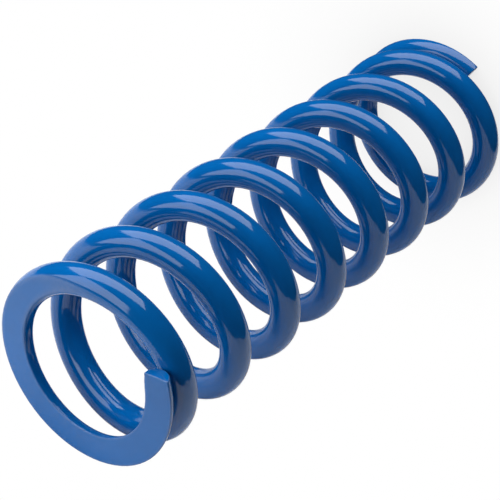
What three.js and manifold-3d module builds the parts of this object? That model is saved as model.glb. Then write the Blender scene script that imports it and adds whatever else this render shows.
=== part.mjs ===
// Compression coil spring for a motorcycle rear damper or a small coil-over damper.
//
// One round steel wire, wound right-handed, with both ends closed and ground flat. The
// spring stands on its lower end face: the origin is the centre of that face and +Z runs up
// the spring's axis. All sizes are in millimetres, and angles along the wire are in turns,
// counted from the lower tip.
//
// The wire is one continuous piece. It is divided into its coils, because each coil moves by
// its own share when the spring is pressed together. All the cuts lie in one half-plane that
// starts at the axis, so that the coils can slide past each other along +Z.

import * as THREE from 'three';
import { mergeVertices } from 'three/addons/utils/BufferGeometryUtils.js';
import Module from 'manifold-3d';

// ---- Driving dimensions ----------------------------------------------------------------

const FREE_LENGTH = 250;        // between the two ground faces
const INNER_DIAMETER = 57;      // of the bore that slides over the damper
const WIRE_DIAMETER = 12;
const TOTAL_TURNS = 8.9;
const CLOSED_PITCH = 3.5;       // rise per turn at the very end of the wire
const CLOSED_TURNS = 0.2;       // wound at the closed pitch, from the tip
const RUN_OUT_TURNS = 1.0;      // over which the pitch grows to the working pitch
const TIP_THICKNESS = 5.2;      // of the wire that is left at the tip after grinding
const TIP_SPREAD = 0.7;         // how far the stiff tip stands out from the coil's circle
const TIP_SPREAD_TURNS = 0.15;
const TIP_RELIEF_LENGTH = 12;   // along the wire, where the tip's inner side is cut straight
const TIP_RELIEF_OVERRUN = 2;   // how far the relief cut runs past the tip
const ACTIVE_COILS = 6;         // whole turns between the two end coils
const JOINT_GAP = 0.3;          // left between two neighbouring coils at their cut

// ---- Mesh fineness ---------------------------------------------------------------------

const SECTION_SIDES = 16;
const STEPS_PER_TURN = 24;

// ---- Derived sizes ---------------------------------------------------------------------

const INNER_RADIUS = INNER_DIAMETER / 2;
const WIRE_RADIUS = WIRE_DIAMETER / 2;
const COIL_RADIUS = (INNER_DIAMETER + WIRE_DIAMETER) / 2;
const TIP_HEIGHT = TIP_THICKNESS - WIRE_RADIUS;   // wire centre above the end face, at the tip
const HALF_TURNS = TOTAL_TURNS / 2;

// The working pitch that makes the two mirrored halves meet at half the free length.
const WORKING_PITCH = CLOSED_PITCH
  + (FREE_LENGTH / 2 - TIP_HEIGHT - CLOSED_PITCH * HALF_TURNS)
  / (HALF_TURNS - CLOSED_TURNS - RUN_OUT_TURNS / 2);

// ---- The wire's centre line ------------------------------------------------------------

// Height of the wire's centre above its own end face, a number of turns in from the tip.
// Beyond the closed turns the pitch follows a smooth step up to the working pitch.
function heightFromEnd(turns) {
  const extraPitch = WORKING_PITCH - CLOSED_PITCH;
  const x = Math.min(Math.max((turns - CLOSED_TURNS) / RUN_OUT_TURNS, 0), 1);
  const runOut = extraPitch * RUN_OUT_TURNS * (x ** 3 - x ** 4 / 2);
  const working = extraPitch * Math.max(turns - CLOSED_TURNS - RUN_OUT_TURNS, 0);
  return TIP_HEIGHT + CLOSED_PITCH * turns + runOut + working;
}

function heightAt(turns) {
  if (turns <= HALF_TURNS) return heightFromEnd(turns);
  return FREE_LENGTH - heightFromEnd(TOTAL_TURNS - turns);
}

function radiusAt(turns) {
  const fromTip = Math.min(turns, TOTAL_TURNS - turns);
  const spread = Math.max(1 - fromTip / TIP_SPREAD_TURNS, 0);
  return COIL_RADIUS + TIP_SPREAD * spread ** 2;
}

// A stretch of the wire. Its frames stand upright, with the normal along the radius and the
// binormal straight down, so every cross-section, cuts included, lies in a plane through the
// spring's axis.
class WireCurve extends THREE.Curve {
  constructor(fromTurns, toTurns) {
    super();
    this.fromTurns = fromTurns;
    this.toTurns = toTurns;
  }

  turnsAt(t) {
    return this.fromTurns + (this.toTurns - this.fromTurns) * t;
  }

  getPoint(t, target = new THREE.Vector3()) {
    const turns = this.turnsAt(t);
    const angle = turns * 2 * Math.PI;
    const radius = radiusAt(turns);
    return target.set(radius * Math.cos(angle), radius * Math.sin(angle), heightAt(turns));
  }

  computeFrenetFrames(segments) {
    const tangents = [];
    const normals = [];
    const binormals = [];
    for (let i = 0; i <= segments; i += 1) {
      const angle = this.turnsAt(this.getUtoTmapping(i / segments)) * 2 * Math.PI;
      tangents.push(new THREE.Vector3(-Math.sin(angle), Math.cos(angle), 0));
      normals.push(new THREE.Vector3(Math.cos(angle), Math.sin(angle), 0));
      binormals.push(new THREE.Vector3(0, 0, -1));
    }
    return { tangents, normals, binormals };
  }
}

// ---- Solids ----------------------------------------------------------------------------

const wasm = await Module();
wasm.setup();

// The round wire seen in an upright plane: a little taller than wide, because the working
// coils climb at an angle.
function wireSection() {
  const climb = Math.atan2(WORKING_PITCH, 2 * Math.PI * COIL_RADIUS);
  const section = new THREE.Shape();
  section.absellipse(0, 0, WIRE_RADIUS, WIRE_RADIUS / Math.cos(climb), 0, 2 * Math.PI);
  return section;
}

function wireStretch(fromTurns, toTurns) {
  return new THREE.ExtrudeGeometry(wireSection(), {
    steps: Math.round((toTurns - fromTurns) * STEPS_PER_TURN),
    curveSegments: SECTION_SIDES / 2,   // three.js gives an ellipse two sides per segment
    extrudePath: new WireCurve(fromTurns, toTurns),
  });
}

function toSolid(geometry) {
  const bare = geometry.clone();
  bare.deleteAttribute('normal');
  bare.deleteAttribute('uv');
  const merged = mergeVertices(bare);
  return new wasm.Manifold(new wasm.Mesh({
    numProp: 3,
    vertProperties: Float32Array.from(merged.attributes.position.array),
    triVerts: Uint32Array.from(merged.index.array),
  }));
}

function toGeometry(solid) {
  const { vertProperties, triVerts } = solid.getMesh();
  const geometry = new THREE.BufferGeometry();
  geometry.setAttribute('position', new THREE.BufferAttribute(vertProperties, 3));
  geometry.setIndex(new THREE.BufferAttribute(triVerts, 1));
  geometry.computeVertexNormals();
  return geometry;
}

// What the grinding wheel takes off an end: everything beyond the face at height faceZ, on
// the side that outwards gives (1 for up, -1 for down).
function grindingBlock(faceZ, outwards) {
  const width = 4 * COIL_RADIUS;
  const block = new THREE.BoxGeometry(width, width, WIRE_DIAMETER);
  block.translate(0, 0, faceZ + outwards * WIRE_DIAMETER / 2);
  return toSolid(block);
}

// The relief along the inner side of a tip, which keeps it clear of the damper: a block that
// touches the bore where the relief starts and runs on straight, past the tip.
function reliefBlock(tipTurns, faceZ, towardsTip) {
  const length = TIP_RELIEF_LENGTH + TIP_RELIEF_OVERRUN;
  const block = new THREE.BoxGeometry(WIRE_RADIUS, length, 2 * TIP_THICKNESS);
  block.translate(INNER_RADIUS - WIRE_RADIUS / 2, towardsTip * length / 2, faceZ);
  block.rotateZ(tipTurns * 2 * Math.PI - towardsTip * TIP_RELIEF_LENGTH / COIL_RADIUS);
  return toSolid(block);
}

// An end coil is ground flat on its outer side, and its tip is relieved. Seen from
// the middle of the spring both ends are alike, so one sign sets both cuts.
function endCoil(fromTurns, toTurns, outwards) {
  const faceZ = outwards > 0 ? FREE_LENGTH : 0;
  const tipTurns = outwards > 0 ? TOTAL_TURNS : 0;
  const solid = toSolid(wireStretch(fromTurns, toTurns))
    .subtract(grindingBlock(faceZ, outwards))
    .subtract(reliefBlock(tipTurns, faceZ, outwards));
  return toGeometry(solid);
}

// ---- The spring ------------------------------------------------------------------------

const coatedSteel = { color: 0x0f55a0, roughness: 0.25, metalness: 0.1 };
const group = new THREE.Group();

function addCoil(name, geometry) {
  const coil = new THREE.Mesh(geometry, new THREE.MeshStandardMaterial(coatedSteel));
  coil.name = name;
  group.add(coil);
}

const halfGap = JOINT_GAP / 2 / (2 * Math.PI * COIL_RADIUS);
const firstCut = (TOTAL_TURNS - ACTIVE_COILS) / 2;
const lastCut = TOTAL_TURNS - firstCut;

addCoil('lower_end_coil', endCoil(0, firstCut - halfGap, -1));

for (let i = 0; i < ACTIVE_COILS; i += 1) {
  const start = firstCut + i;
  addCoil(`active_coil_${i + 1}`, wireStretch(start + halfGap, start + 1 - halfGap));
}

addCoil('upper_end_coil', endCoil(lastCut + halfGap, TOTAL_TURNS, 1));

export default group;
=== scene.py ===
"""A powder-coated coil spring with closed and ground ends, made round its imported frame.

Sizes are in metres. Places along the wire are in turns, counted from the lower tip.
"""

import math

import bpy
from bpy.props import (
    FloatProperty,
    FloatVectorProperty,
    IntProperty,
    PointerProperty,
)
from mathutils import Matrix, Vector
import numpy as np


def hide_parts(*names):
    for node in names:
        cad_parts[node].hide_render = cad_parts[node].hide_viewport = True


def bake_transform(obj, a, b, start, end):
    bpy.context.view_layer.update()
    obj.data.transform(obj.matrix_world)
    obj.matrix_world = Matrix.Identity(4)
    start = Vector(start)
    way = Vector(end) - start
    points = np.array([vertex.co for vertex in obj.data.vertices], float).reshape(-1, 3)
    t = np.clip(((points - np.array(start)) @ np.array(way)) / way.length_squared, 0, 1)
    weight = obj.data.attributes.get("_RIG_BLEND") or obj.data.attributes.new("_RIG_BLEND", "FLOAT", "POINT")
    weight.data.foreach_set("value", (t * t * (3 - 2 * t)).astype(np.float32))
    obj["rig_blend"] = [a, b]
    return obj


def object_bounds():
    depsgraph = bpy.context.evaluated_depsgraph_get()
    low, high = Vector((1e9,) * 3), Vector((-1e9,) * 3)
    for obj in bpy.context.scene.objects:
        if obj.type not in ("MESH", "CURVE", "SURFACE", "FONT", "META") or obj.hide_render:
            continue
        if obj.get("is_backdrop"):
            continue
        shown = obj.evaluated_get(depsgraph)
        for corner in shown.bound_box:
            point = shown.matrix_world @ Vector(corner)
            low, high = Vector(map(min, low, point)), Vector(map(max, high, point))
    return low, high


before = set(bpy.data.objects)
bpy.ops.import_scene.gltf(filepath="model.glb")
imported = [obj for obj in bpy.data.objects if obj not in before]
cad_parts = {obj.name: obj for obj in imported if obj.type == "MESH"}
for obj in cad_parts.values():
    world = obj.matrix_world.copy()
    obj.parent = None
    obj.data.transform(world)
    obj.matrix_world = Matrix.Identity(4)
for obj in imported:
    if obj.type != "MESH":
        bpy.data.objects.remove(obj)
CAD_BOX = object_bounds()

bl_info = {
    "name": "Coil Spring",
    "version": (1, 0, 0),
    "blender": (4, 5, 0),
    "location": "3D View > Sidebar > Coil Spring",
    "description": "Builds a powder-coated coil spring and the studio it stands in",
    "category": "Object",
}

WIRE_NAME = "spring_wire"
LOWER_BODY = "lower_end_coil"
UPPER_BODY = "upper_end_coil"
TURNS_ATTRIBUTE = "turns"
GROUND_ATTRIBUTE = "ground"
EDGE_ATTRIBUTE = "edge"
SIDE_ATTRIBUTE = "section_side"     # the place round the wire, as a point on a unit circle
UP_ATTRIBUTE = "section_up"
BLEND_ATTRIBUTE = "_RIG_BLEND"

# How the wire's mesh is laid out.
TIP_FAN_ROWS = 2        # rows that close the flat end of the wire
TIP_CORNER_ROWS = 4     # rows round the corner of that end
EDGE_ANGLE = math.radians(30)   # below level, where a ground edge is seen from inside the wire
EDGE_SOFTNESS = 2.5     # edge radii over which a cut face runs into the round wire
INSIDE_LOWEST = -0.4    # how far the point inside the wire may move, in wire radii
INSIDE_HIGHEST = 0.7
COLUMN_BUNCHING = 0.11  # how far the columns crowd towards the ground edges
BUNCHES = 6             # places round the wire where they do
RELIEF_RUN_OUT = 0.3    # how steeply the relief leaves the wire beyond its length
SLANT_FADE = 3.0        # wire radii over which the lean of a tip's cut fades out
LEAST_SLOPE = 0.001     # keeps a division away from nought
SAME_PLACE = 1e-6       # points nearer than this become one

# How the wire moves.
SETTLED_TURNS = 1.0     # at each end, that don't move when the spring is pressed
SETTLING_TURNS = 1.0    # over which the movement then builds up

# The coat's patterns.
CLOUD_SIZE = 0.018
DAPPLE_SIZE = 0.0035
SPECKLE_SIZE = 0.0009
CLOUD_SHARE = 1.4       # how much of the colour's drift is cloud, and how much dapple
DAPPLE_SHARE = 0.6
EDGE_SPECKS = 0.35      # how solid the pale line on an edge is
EDGE_ROUGHNESS = 0.05
DRAWN_LINES = 8.0       # fineness of the wire's lengthwise marks
DRAWN_RUN = 0.35        # the smaller, the longer they run
GRIND_SPACING = 0.0006
GRIND_RUN = 0.04
GRIND_TURN = math.radians(35)
COAT_IOR = 1.5

# The studio.
SENSOR_WIDTH = 36.0
FLOOR_REACH = 6.0       # from the middle to its edges
FLOOR_PAINTED_SHADE = 0.25      # painted shade: how dark the floor's glow is made where nothing would reach it
FLOOR_PAINTED_SHADE_REACH = 0.08    # how near a thing has to be for the floor's glow to be painted darker
BOARD_FACES = math.radians(110.67)  # the way the white reflector board faces
BOARD_AHEAD = 0.22      # how far it reaches from the spring's middle, towards the camera
BOARD_BEHIND = 0.3
BOARD_RIGHT = 1.7
BOARD_LEFT = 0.225
BOARD_WHITE = 0.85
BOARD_GLOW = 0.05
DIM = 0.03              # light from the dark part of the studio
SOFT_BOXES = (
    # name, lined up with the spring, azimuth, elevation, turn (degrees),
    # distance, width, height, brightness
    ("main_soft_box", True, 131.5, -4.3, 27.0, 1.0, 1.6, 0.95, 3.5),
    ("side_soft_box", False, 158.0, 65.5, -9.0, 0.6, 0.5, 0.42, 2.9),
)


# ---- What a user may change --------------------------------------------------------------


class SpringWireSizes(bpy.types.PropertyGroup):
    """The sizes that the wire's shape follows."""

    free_length: FloatProperty(
        name="Free Length", description="Between the two ground faces",
        default=CAD_BOX[1].z - CAD_BOX[0].z, unit="LENGTH")
    inner_diameter: FloatProperty(
        name="Inner Diameter", description="Bore of the coils",
        default=0.057, unit="LENGTH")
    wire_diameter: FloatProperty(
        name="Wire Diameter", description="Thickness of the round wire",
        default=0.012, unit="LENGTH")
    total_turns: FloatProperty(
        name="Total Turns", description="From tip to tip", default=8.9)
    closed_pitch: FloatProperty(
        name="Closed Pitch", description="Rise per turn at the tips",
        default=0.0035, unit="LENGTH")
    closed_turns: FloatProperty(
        name="Closed Turns", description="Turns from a tip at the closed pitch",
        default=0.2)
    run_out_turns: FloatProperty(
        name="Run-out Turns", description="Turns over which the pitch opens",
        default=1.0)
    tip_thickness: FloatProperty(
        name="Tip Thickness", description="Wire left at a tip after grinding",
        default=0.0052, unit="LENGTH")
    tip_spread: FloatProperty(
        name="Tip Spread", description="How far a tip stands out from the coil's circle",
        default=0.00069, unit="LENGTH")
    tip_spread_turns: FloatProperty(
        name="Tip Spread Turns", description="Turns over which a tip stands out",
        default=0.15)
    tip_relief: FloatProperty(
        name="Tip Relief", description="Length of the straight cut inside a tip",
        default=0.012, unit="LENGTH")
    tip_slant: FloatProperty(
        name="Tip Slant", description="Lean of the upper tip's cut, longer on the bore side",
        default=math.radians(16), subtype="ANGLE")
    edge_radius: FloatProperty(
        name="Edge Radius", description="Rounding of the coated edges",
        default=0.0005, unit="LENGTH")
    rows_per_turn: IntProperty(
        name="Rows per Turn", description="Mesh rows in one turn", default=72)
    columns: IntProperty(
        name="Columns", description="Mesh columns round the wire", default=96)


class SpringCoatLook(bpy.types.PropertyGroup):
    """The look of the powder coat."""

    paint: FloatVectorProperty(
        name="Paint", description="Colour of the powder coat", subtype="COLOR",
        size=3, min=0, max=1, default=(0.0, 0.108, 0.37))
    roughness: FloatProperty(
        name="Roughness", description="Blur of its reflections",
        default=0.08, subtype="FACTOR")
    cloudiness: FloatProperty(
        name="Cloudiness", description="How far its colour drifts, as a share",
        default=0.09, subtype="FACTOR")
    edge_fading: FloatProperty(
        name="Edge Fading", description="How much the thin coat on edges pales",
        default=0.3, subtype="FACTOR")
    ground_dullness: FloatProperty(
        name="Ground Dullness", description="Extra roughness on the ground faces",
        default=0.12, subtype="FACTOR")
    peel_size: FloatProperty(
        name="Orange Peel Size", description="Width of its ripples",
        default=0.0016, unit="LENGTH")
    peel_depth: FloatProperty(
        name="Orange Peel Depth", description="Depth of its ripples",
        default=0.000006, unit="LENGTH")
    draw_depth: FloatProperty(
        name="Drawing Mark Depth", description="Depth of the wire's lengthwise marks",
        default=0.000011, unit="LENGTH")
    grind_depth: FloatProperty(
        name="Grinding Mark Depth", description="Depth of the marks on the ground faces",
        default=0.000003, unit="LENGTH")


class SpringStudio(bpy.types.PropertyGroup):
    """The camera, floor and light."""

    azimuth: FloatProperty(
        name="Camera Azimuth", description="Round the spring, from the front",
        subtype="ANGLE", default=math.radians(81.405))
    elevation: FloatProperty(
        name="Camera Elevation", description="Above the horizon",
        subtype="ANGLE", default=math.radians(43.847))
    roll: FloatProperty(
        name="Camera Roll", description="Turn about its own line of sight",
        subtype="ANGLE", default=math.radians(125.931))
    distance: FloatProperty(
        name="Camera Distance", description="To the spring's middle, along the line of sight",
        default=0.62444, unit="LENGTH")
    aim_right: FloatProperty(
        name="Middle to the Right", description="Of the line of sight",
        default=0.01258, unit="LENGTH")
    aim_up: FloatProperty(
        name="Middle Above", description="The line of sight",
        default=0.00966, unit="LENGTH")
    lens: FloatProperty(
        name="Lens", description="Focal length in millimetres", default=107.087,
        unit="CAMERA")


# ---- Arithmetic in node trees ------------------------------------------------------------


class Number:
    """A number in a node tree. Arithmetic on it adds the Math nodes that do the same."""

    def __init__(self, tree, socket):
        self.tree = tree
        self.socket = socket

    def __add__(self, other):
        return self.math("ADD", self, other)

    def __sub__(self, other):
        return self.math("SUBTRACT", self, other)

    def __rsub__(self, other):
        return self.math("SUBTRACT", other, self)

    def __mul__(self, other):
        return self.math("MULTIPLY", self, other)

    def __truediv__(self, other):
        return self.math("DIVIDE", self, other)

    def __rtruediv__(self, other):
        return self.math("DIVIDE", other, self)

    def __neg__(self):
        return self.math("SUBTRACT", 0.0, self)

    def __pow__(self, power):
        return self.math("POWER", self, power)

    __radd__ = __add__
    __rmul__ = __mul__

    def math(self, operation, *values):
        node = self.tree.nodes.new("ShaderNodeMath")
        node.operation = operation
        for slot, value in zip(node.inputs, values):
            plug(self.tree, value, slot)
        return Number(self.tree, node.outputs["Value"])

    def sine(self):
        return self.math("SINE", self)

    def cosine(self):
        return self.math("COSINE", self)

    def root(self):
        return self.math("SQRT", self)

    def at_most(self, other):
        return self.math("MINIMUM", self, other)

    def at_least(self, other):
        return self.math("MAXIMUM", self, other)

    def softly_at_most(self, other, softness):
        return self.math("SMOOTH_MIN", self, other, softness)

    def above(self, other):
        return self.math("GREATER_THAN", self, other)

    def share(self):
        """The number held between 0 and 1."""
        return self.at_least(0.0).at_most(1.0)

    def ease(self):
        """A share that starts and ends slowly."""
        return self * self * (3.0 - self * 2.0)


def plug(tree, value, slot):
    """Sets a node's input to a number, or links it to one in the tree."""
    if isinstance(value, Number):
        tree.links.new(value.socket, slot)
    else:
        slot.default_value = value


def add_node(tree, kind, settings=(), **inputs):
    """Adds a node, with its settings and its inputs; an input's name has _ for a space."""
    node = tree.nodes.new(kind)
    for name, value in dict(settings).items():
        setattr(node, name, value)
    for name, value in inputs.items():
        slot = node.inputs[name.replace("_", " ")]
        if isinstance(value, bpy.types.NodeSocket):
            tree.links.new(value, slot)
        else:
            plug(tree, value, slot)
    return node


# ---- The wire ----------------------------------------------------------------------------


def height_from_end(turns, size):
    """Height of the wire's middle above its own end face, and its rise per turn there."""
    tip_height = size["Tip Thickness"] - size["Wire Diameter"] / 2
    closed, run_out = size["Closed Turns"], size["Run-out Turns"]
    half = size["Total Turns"] / 2
    extra = (size["Free Length"] / 2 - tip_height - size["Closed Pitch"] * half) / (
        half - closed - run_out / 2)
    x = ((turns - closed) / run_out).share()
    opened = run_out * (x ** 3 - x ** 4 / 2) + (turns - closed - run_out).at_least(0.0)
    height = tip_height + size["Closed Pitch"] * turns + extra * opened
    return height, size["Closed Pitch"] + extra * x.ease()


def section_reach(angle, height, radius, clearance, size):
    """How far the wire's surface is from a point inside it, in one direction.

    The surface is the round wire, cut by the ground face below and the relief on the bore
    side, with the edges rounded. The point is placed so that a ground edge is always seen
    at the same angle. Returns the reach and the point's height, then two shares: 1 on the
    ground face, and 1 on an edge.
    """
    soft = size["Edge Radius"] * EDGE_SOFTNESS
    half_width = (radius * radius - height * height).at_least(0.0).root()
    inside = half_width * math.tan(EDGE_ANGLE) - height
    inside = inside.at_least(radius * INSIDE_LOWEST).at_most(radius * INSIDE_HIGHEST)
    inside = inside * (1.0 - ((height - radius) / radius).share().ease())
    sine, cosine = angle.sine(), angle.cosine()
    across = inside * cosine
    to_round = (radius * radius - across * across).root() - inside * sine
    to_ground = (height + inside) / (-sine).at_least(LEAST_SLOPE)
    to_relief = clearance / (-cosine).at_least(LEAST_SLOPE)
    reach = to_round.softly_at_most(to_ground, soft).softly_at_most(to_relief, soft)
    ground = ((to_round - to_ground) / soft + 0.5).share()
    apart = to_round - to_ground.at_most(to_relief)
    edge = (1.0 - apart.math("ABSOLUTE", apart) / soft).share()
    return reach, inside, ground, edge


def build_wire_tree(material):
    """The node tree that winds, closes and grinds the wire from its named sizes."""
    tree = bpy.data.node_groups.new("Ground Coil Spring", "GeometryNodeTree")
    names = (
        "Free Length", "Inner Diameter", "Wire Diameter", "Total Turns", "Closed Pitch",
        "Closed Turns", "Run-out Turns", "Tip Thickness", "Tip Spread",
        "Tip Spread Turns", "Tip Relief", "Tip Slant", "Edge Radius")
    for name in names:
        tree.interface.new_socket(name, in_out="INPUT", socket_type="NodeSocketFloat")
    for name in ("Rows per Turn", "Columns"):
        tree.interface.new_socket(name, in_out="INPUT", socket_type="NodeSocketInt")
    tree.interface.new_socket("Geometry", in_out="OUTPUT", socket_type="NodeSocketGeometry")
    given = tree.nodes.new("NodeGroupInput")
    size = {s.name: Number(tree, s) for s in given.outputs if s.name}

    half_rows = size["Rows per Turn"] * size["Total Turns"] / 2
    half_rows = half_rows.math("ROUND", half_rows) + TIP_FAN_ROWS + TIP_CORNER_ROWS
    grid = add_node(
        tree, "GeometryNodeMeshGrid", Size_X=half_rows * 2, Size_Y=size["Columns"],
        Vertices_X=half_rows * 2 + 1, Vertices_Y=size["Columns"] + 1)
    place = add_node(
        tree, "ShaderNodeSeparateXYZ",
        Vector=tree.nodes.new("GeometryNodeInputPosition").outputs["Position"])
    from_middle = Number(tree, place.outputs["X"])
    column = Number(tree, place.outputs["Y"]) / size["Columns"] * (2 * math.pi)

    coil_radius = (size["Inner Diameter"] + size["Wire Diameter"]) / 2
    wire_radius = size["Wire Diameter"] / 2
    circle = coil_radius * (2 * math.pi)

    # Rows run from tip to tip. The first few close the wire's end and round its corner.
    row = half_rows - from_middle.math("ABSOLUTE", from_middle)
    fan = 1.0 - (1.0 - row / TIP_FAN_ROWS).at_least(0.0) ** 3
    corner = ((row - TIP_FAN_ROWS) / TIP_CORNER_ROWS).share() * (math.pi / 2)
    corner_turns = size["Edge Radius"] / circle
    wound_rows = (row - (TIP_FAN_ROWS + TIP_CORNER_ROWS)).at_least(0.0)
    row_turns = (size["Total Turns"] / 2 - corner_turns) / (
        half_rows - (TIP_FAN_ROWS + TIP_CORNER_ROWS))
    from_tip = corner_turns * (1.0 - corner.cosine()) + wound_rows * row_turns
    upper = from_middle.above(0.5)
    side = 1.0 - upper * 2
    turns = upper * size["Total Turns"] + side * from_tip

    height, pitch = height_from_end(from_tip, size)
    spread = (1.0 - from_tip / size["Tip Spread Turns"]).at_least(0.0)
    middle_radius = coil_radius + size["Tip Spread"] * spread * spread
    climb = pitch / circle
    stretch = (climb * climb + 1.0).root()    # an upright cut of a climbing wire is taller

    bore = size["Inner Diameter"] / 2
    to_relief = size["Tip Relief"] - from_tip * circle
    relief = to_relief.at_least(0.0)
    relief_radius = (bore * bore + relief * relief).root()
    relief_radius = relief_radius + to_relief.at_most(0.0) * RELIEF_RUN_OUT
    angle = side * (column + (column * BUNCHES).sine() * COLUMN_BUNCHING)
    reach, inside, ground, edge = section_reach(
        angle, height / stretch, wire_radius, middle_radius - relief_radius, size)
    reach = (reach - size["Edge Radius"] * (1.0 - corner.sine())) * fan
    edge = edge.at_least((corner * 2).sine())
    across = reach * angle.cosine()
    above_face = height + (inside + reach * angle.sine()) * stretch
    outwards = middle_radius + across

    # The upper tip's cut leans, and the lean fades out along the wire.
    fading = (1.0 - from_tip * circle / (wire_radius * SLANT_FADE)).at_least(0.0) ** 2
    slope = size["Tip Slant"].math("TANGENT", size["Tip Slant"]) * fading * upper
    turned = (turns - across * slope / circle) * (2 * math.pi)
    spot = add_node(
        tree, "ShaderNodeCombineXYZ", X=outwards * turned.cosine(),
        Y=outwards * turned.sine(), Z=upper * size["Free Length"] + side * above_face)

    mesh = grid.outputs["Mesh"]
    attributes = {
        TURNS_ATTRIBUTE: turns, GROUND_ATTRIBUTE: ground, EDGE_ATTRIBUTE: edge,
        SIDE_ATTRIBUTE: angle.cosine(), UP_ATTRIBUTE: angle.sine()}
    for name, value in attributes.items():
        mesh = add_node(
            tree, "GeometryNodeStoreNamedAttribute",
            {"data_type": "FLOAT", "domain": "POINT"},
            Geometry=mesh, Name=name, Value=value).outputs["Geometry"]
    mesh = add_node(
        tree, "GeometryNodeSetPosition", Geometry=mesh,
        Position=spot.outputs["Vector"]).outputs["Geometry"]
    mesh = add_node(
        tree, "GeometryNodeMergeByDistance", Geometry=mesh,
        Distance=SAME_PLACE).outputs["Geometry"]
    mesh = add_node(
        tree, "GeometryNodeSetShadeSmooth", Geometry=mesh,
        Shade_Smooth=True).outputs["Geometry"]
    mesh = add_node(
        tree, "GeometryNodeRealizeInstances", Geometry=mesh).outputs["Geometry"]
    mesh = add_node(
        tree, "GeometryNodeSetMaterial", Geometry=mesh,
        Material=material).outputs["Geometry"]
    result = tree.nodes.new("NodeGroupOutput")
    tree.links.new(mesh, result.inputs["Geometry"])
    return tree


def input_identifiers(tree):
    """Each input's name with the identifier that a modifier knows it by."""
    return {
        item.name: item.identifier for item in tree.interface.items_tree
        if item.item_type == "SOCKET" and item.in_out == "INPUT"}


def plain_mesh(name, tree, values):
    """Runs a node tree with these inputs and gives the result as an object of its own."""
    carrier = bpy.data.objects.new(name + "_carrier", bpy.data.meshes.new(name))
    bpy.context.scene.collection.objects.link(carrier)
    modifier = carrier.modifiers.new("Build", "NODES")
    modifier.node_group = tree
    for label, identifier in input_identifiers(tree).items():
        modifier[identifier] = values[label]
    carrier.update_tag()
    depsgraph = bpy.context.evaluated_depsgraph_get()
    mesh = bpy.data.meshes.new_from_object(carrier.evaluated_get(depsgraph))
    carrier.modifiers.remove(modifier)
    bpy.data.objects.remove(carrier)
    if not mesh.polygons:
        raise RuntimeError(name + " came out empty")
    mesh.name = name
    piece = bpy.data.objects.new(name, mesh)
    bpy.context.scene.collection.objects.link(piece)
    return piece


def moved_share(turns, total_turns):
    """How much of the upper end's movement the wire makes, so many turns up."""
    def built_up(from_tip):
        x = min(max((from_tip - SETTLED_TURNS) / SETTLING_TURNS, 0.0), 1.0)
        beyond = max(from_tip - SETTLED_TURNS - SETTLING_TURNS, 0.0)
        return SETTLING_TURNS * (x ** 3 - x ** 4 / 2) + beyond

    half = built_up(total_turns / 2)
    share = built_up(min(turns, total_turns - turns)) / half / 2
    return share if turns < total_turns / 2 else 1.0 - share


def follow_both_ends(wire, total_turns):
    """The wire closes up between its two ends, and the turns by the seats stay as they are."""
    low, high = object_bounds()
    middle = (low + high) / 2
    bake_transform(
        wire, LOWER_BODY, UPPER_BODY,
        start=(middle.x, middle.y, low.z), end=(middle.x, middle.y, high.z))
    turns = wire.data.attributes[TURNS_ATTRIBUTE].data
    shares = [moved_share(point.value, total_turns) for point in turns]
    wire.data.attributes[BLEND_ATTRIBUTE].data.foreach_set("value", shares)


# ---- The coat ----------------------------------------------------------------------------


def attribute(tree, name):
    """The number that the mesh holds under this name."""
    node = add_node(tree, "ShaderNodeAttribute", {"attribute_name": name})
    return Number(tree, node.outputs["Fac"])


def noise(tree, place, scale, detail=2.0):
    """Noise between 0 and 1."""
    node = add_node(
        tree, "ShaderNodeTexNoise", Vector=place, Scale=scale, Detail=detail, Roughness=0.5)
    return Number(tree, node.outputs["Fac"])


def paled(tree, colour, share, pale):
    """A colour, mixed with a paler one by a share."""
    mixed = add_node(tree, "ShaderNodeMix", {"data_type": "RGBA"}, Factor=share)
    first, second = (slot for slot in mixed.inputs if slot.type == "RGBA")
    tree.links.new(colour, first)
    second.default_value = (*pale, 1)
    return next(slot for slot in mixed.outputs if slot.type == "RGBA")


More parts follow.
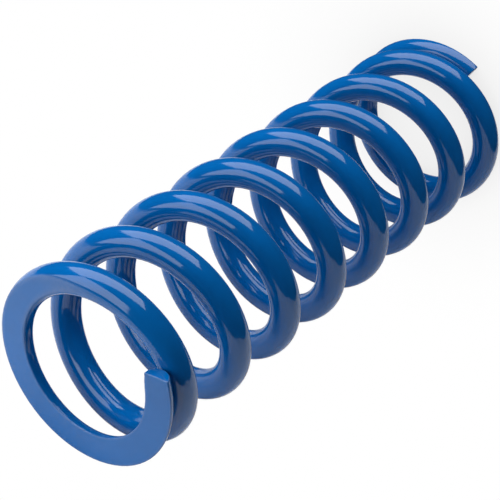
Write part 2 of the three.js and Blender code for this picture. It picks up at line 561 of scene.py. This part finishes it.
def powder_coat(look):
    """Gloss powder coat over drawn, shot-peened and ground steel.

    Its colour drifts a little and pales on the edges, where it lies thin. Its ripples and
    the steel's own marks show in the reflections.
    """
    material = bpy.data.materials.new("Blue Powder Coat")
    material.use_nodes = True
    tree = material.node_tree
    shader = tree.nodes["Principled BSDF"]
    place = tree.nodes.new("ShaderNodeTexCoord").outputs["Object"]
    ground = attribute(tree, GROUND_ATTRIBUTE)
    edge = attribute(tree, EDGE_ATTRIBUTE)
    along_wire = add_node(
        tree, "ShaderNodeCombineXYZ", X=attribute(tree, SIDE_ATTRIBUTE),
        Y=attribute(tree, UP_ATTRIBUTE), Z=attribute(tree, TURNS_ATTRIBUTE) * DRAWN_RUN)
    along_grind = add_node(
        tree, "ShaderNodeMapping", Vector=place, Rotation=(0, 0, GRIND_TURN),
        Scale=(1.0, GRIND_RUN, 1.0))

    cloud = noise(tree, place, 1 / CLOUD_SIZE)
    dapple = noise(tree, place, 1 / DAPPLE_SIZE)
    speckle = noise(tree, place, 1 / SPECKLE_SIZE, 3.0)

    drift = (cloud - 0.5) * CLOUD_SHARE + (dapple - 0.5) * DAPPLE_SHARE
    painted = add_node(
        tree, "ShaderNodeVectorMath", {"operation": "SCALE"}, Vector=look.paint,
        Scale=drift * (2 * look.cloudiness) + 1.0)
    thin = (edge * (speckle + EDGE_SPECKS)).share() * look.edge_fading
    pale = [0.5 * part + 0.16 for part in look.paint]
    colour = paled(tree, painted.outputs["Vector"], thin, pale)
    tree.links.new(colour, shader.inputs["Base Color"])

    roughness = look.roughness * (dapple * 0.7 + speckle * 0.5 + 0.4)
    roughness = roughness + ground * look.ground_dullness + edge * EDGE_ROUGHNESS
    plug(tree, roughness, shader.inputs["Roughness"])
    shader.inputs["IOR"].default_value = COAT_IOR

    drawn = noise(tree, along_wire.outputs["Vector"], DRAWN_LINES, 3.0)
    ground_lines = noise(tree, along_grind.outputs["Vector"], 1 / GRIND_SPACING, 1.0)
    height = noise(tree, place, 1 / look.peel_size, 1.0) * look.peel_depth
    height = height + drawn * look.draw_depth + ground * ground_lines * look.grind_depth
    bump = add_node(tree, "ShaderNodeBump", Strength=1.0, Distance=1.0, Height=height)
    tree.links.new(bump.outputs["Normal"], shader.inputs["Normal"])
    return material


class COILSPRING_OT_wire(bpy.types.Operator):
    """Wind, grind and coat the wire, and let it follow both ends"""

    bl_idname = "coilspring.wire"
    bl_label = "Build Wire"
    bl_options = {"REGISTER", "UNDO"}

    def execute(self, context):
        sizes = context.scene.spring_wire
        material = powder_coat(context.scene.spring_coat)
        tree = build_wire_tree(material)
        values = {
            label: getattr(sizes, label.lower().replace(" ", "_").replace("-", "_"))
            for label in input_identifiers(tree)}
        wire = plain_mesh(WIRE_NAME, tree, values)
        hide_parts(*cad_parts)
        follow_both_ends(wire, sizes.total_turns)
        return {"FINISHED"}


# ---- The studio --------------------------------------------------------------------------


def compass(azimuth, elevation):
    """The direction from the spring's middle to a place in the studio."""
    return Vector((
        math.sin(azimuth) * math.cos(elevation),
        -math.cos(azimuth) * math.cos(elevation),
        math.sin(elevation)))


def camera_axes(studio):
    """The camera's right, up and backward directions."""
    back = compass(studio.azimuth, studio.elevation)
    right = Vector((0, 0, 1)).cross(back).normalized()
    up = back.cross(right)
    turn = Matrix.Rotation(-studio.roll, 3, back)
    return turn @ right, turn @ up, back


def in_scene(name, data):
    """A new object in the scene that holds this data."""
    thing = bpy.data.objects.new(name, data)
    bpy.context.scene.collection.objects.link(thing)
    return thing


def turn_to(thing, right, up, back):
    """Turns a camera or a light so that its own axes point these ways."""
    thing.rotation_mode = "QUATERNION"
    thing.rotation_quaternion = Matrix((right, up, back)).transposed().to_quaternion()


def sheet_on_stage(name, corners, material):
    """A flat four-cornered piece of the stage."""
    mesh = bpy.data.meshes.new(name)
    mesh.from_pydata(corners, [], [(0, 1, 2, 3)])
    mesh.materials.append(material)
    sheet = in_scene(name, mesh)
    sheet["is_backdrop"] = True
    return sheet


def bare_material(name):
    """A material with nothing in it but its output, and that output's input."""
    material = bpy.data.materials.new(name)
    material.use_nodes = True
    material.node_tree.nodes.clear()
    out = material.node_tree.nodes.new("ShaderNodeOutputMaterial")
    return material, out.inputs["Surface"]


def add_camera(studio, middle):
    right, up, back = camera_axes(studio)
    camera = in_scene("camera", bpy.data.cameras.new("camera"))
    camera.data.sensor_width = SENSOR_WIDTH
    camera.data.lens = studio.lens
    turn_to(camera, right, up, back)
    camera.location = (
        middle + back * studio.distance - right * studio.aim_right - up * studio.aim_up)
    bpy.context.scene.camera = camera


def add_floor(low):
    """An evenly glowing pale floor, with shade painted into its glow close to what stands on it."""
    material, surface = bare_material("Pale Floor")
    tree = material.node_tree
    # painted shade: ambient occlusion darkens the floor's glow near the spring, standing in for its contact
    # shadow
    near = add_node(
        tree, "ShaderNodeAmbientOcclusion", {"samples": 16}, Distance=FLOOR_PAINTED_SHADE_REACH)
    open_share = Number(tree, near.outputs["AO"])
    glow = add_node(
        tree, "ShaderNodeEmission", Strength=open_share * FLOOR_PAINTED_SHADE + (1.0 - FLOOR_PAINTED_SHADE))
    tree.links.new(glow.outputs["Emission"], surface)

    near_side, far_side = -FLOOR_REACH, FLOOR_REACH
    floor = sheet_on_stage("floor", [
        (near_side, near_side, low.z), (far_side, near_side, low.z),
        (far_side, far_side, low.z), (near_side, far_side, low.z)], material)
    floor.visible_diffuse = False
    floor.visible_glossy = False
    floor.visible_transmission = False
    floor.visible_shadow = False


def add_soft_box(name, towards, upright, turn, middle, distance, width, height, brightness):
    """A rectangular light that faces the spring's middle and isn't seen itself."""
    data = bpy.data.lights.new(name, "AREA")
    data.shape = "RECTANGLE"
    data.size = width
    data.size_y = height
    data.energy = brightness * math.pi * width * height
    light = in_scene(name, data)
    level = Matrix.Rotation(turn, 3, towards) @ upright.cross(towards).normalized()
    turn_to(light, level, towards.cross(level), towards)
    light.location = middle + towards * distance
    light.visible_camera = False


def add_board(face, ahead, middle, gap):
    """A white reflector that stands beside the spring and isn't seen itself."""
    material, surface = bare_material("White Board")
    tree = material.node_tree
    glow = add_node(tree, "ShaderNodeEmission", Strength=BOARD_GLOW)
    matt = add_node(tree, "ShaderNodeBsdfDiffuse")
    matt.inputs["Color"].default_value = (BOARD_WHITE, BOARD_WHITE, BOARD_WHITE, 1)
    both = add_node(tree, "ShaderNodeAddShader")
    tree.links.new(glow.outputs["Emission"], both.inputs[0])
    tree.links.new(matt.outputs["BSDF"], both.inputs[1])
    tree.links.new(both.outputs["Shader"], surface)

    ahead = (ahead - face * ahead.dot(face)).normalized()
    right = ahead.cross(face)
    foot = middle - face * gap
    front, rear = foot + ahead * BOARD_AHEAD, foot - ahead * BOARD_BEHIND
    board = sheet_on_stage("reflector_board", [
        front - right * BOARD_LEFT, front + right * BOARD_RIGHT,
        rear + right * BOARD_RIGHT, rear - right * BOARD_LEFT], material)
    board.visible_camera = False
    board.visible_shadow = False


def add_world():
    """A studio that looks white and gives little light of its own."""
    world = bpy.data.worlds.new("Studio")
    bpy.context.scene.world = world
    world.use_nodes = True
    tree = world.node_tree
    tree.nodes.clear()
    seen = tree.nodes.new("ShaderNodeLightPath").outputs["Is Camera Ray"]
    mix = add_node(tree, "ShaderNodeMixShader", Fac=seen)
    for strength, slot in ((DIM, mix.inputs[1]), (1.0, mix.inputs[2])):
        around = add_node(tree, "ShaderNodeBackground", Strength=strength)
        around.inputs["Color"].default_value = (1, 1, 1, 1)
        tree.links.new(around.outputs["Background"], slot)
    out = tree.nodes.new("ShaderNodeOutputWorld")
    tree.links.new(mix.outputs["Shader"], out.inputs["Surface"])


class COILSPRING_OT_stage(bpy.types.Operator):
    """Set up the floor, the soft light and the camera"""

    bl_idname = "coilspring.stage"
    bl_label = "Build Stage"
    bl_options = {"REGISTER", "UNDO"}

    def execute(self, context):
        studio = context.scene.spring_studio
        low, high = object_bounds()
        middle = (low + high) / 2
        add_camera(studio, middle)
        add_floor(low)
        add_world()
        face = compass(BOARD_FACES, 0.0)
        add_board(face, camera_axes(studio)[2], middle, (high.x - low.x) / 2)
        for name, with_spring, azimuth, elevation, turn, *sizes in SOFT_BOXES:
            towards = compass(math.radians(azimuth), math.radians(elevation))
            upright = Vector((0, 0, 1)) if with_spring else face
            add_soft_box(name, towards, upright, math.radians(turn), middle, *sizes)
        context.scene.view_settings.view_transform = "Standard"
        return {"FINISHED"}


class COILSPRING_PT_panel(bpy.types.Panel):
    bl_idname = "COILSPRING_PT_panel"
    bl_label = "Coil Spring"
    bl_space_type = "VIEW_3D"
    bl_region_type = "UI"
    bl_category = "Coil Spring"

    def draw(self, context):
        scene = context.scene
        for group, operator in (
                (scene.spring_wire, None),
                (scene.spring_coat, COILSPRING_OT_wire),
                (scene.spring_studio, COILSPRING_OT_stage)):
            box = self.layout.box()
            for name in type(group).__annotations__:
                box.prop(group, name)
            if operator:
                box.operator(operator.bl_idname)


CLASSES = (
    SpringWireSizes, SpringCoatLook, SpringStudio,
    COILSPRING_OT_wire, COILSPRING_OT_stage, COILSPRING_PT_panel)


def register():
    for each in CLASSES:
        bpy.utils.register_class(each)
    bpy.types.Scene.spring_wire = PointerProperty(type=SpringWireSizes)
    bpy.types.Scene.spring_coat = PointerProperty(type=SpringCoatLook)
    bpy.types.Scene.spring_studio = PointerProperty(type=SpringStudio)


def unregister():
    del bpy.types.Scene.spring_wire
    del bpy.types.Scene.spring_coat
    del bpy.types.Scene.spring_studio
    for each in reversed(CLASSES):
        bpy.utils.unregister_class(each)


def main():
    register()
    bpy.ops.coilspring.wire()
    bpy.ops.coilspring.stage()


if __name__ == "__main__":
    main()
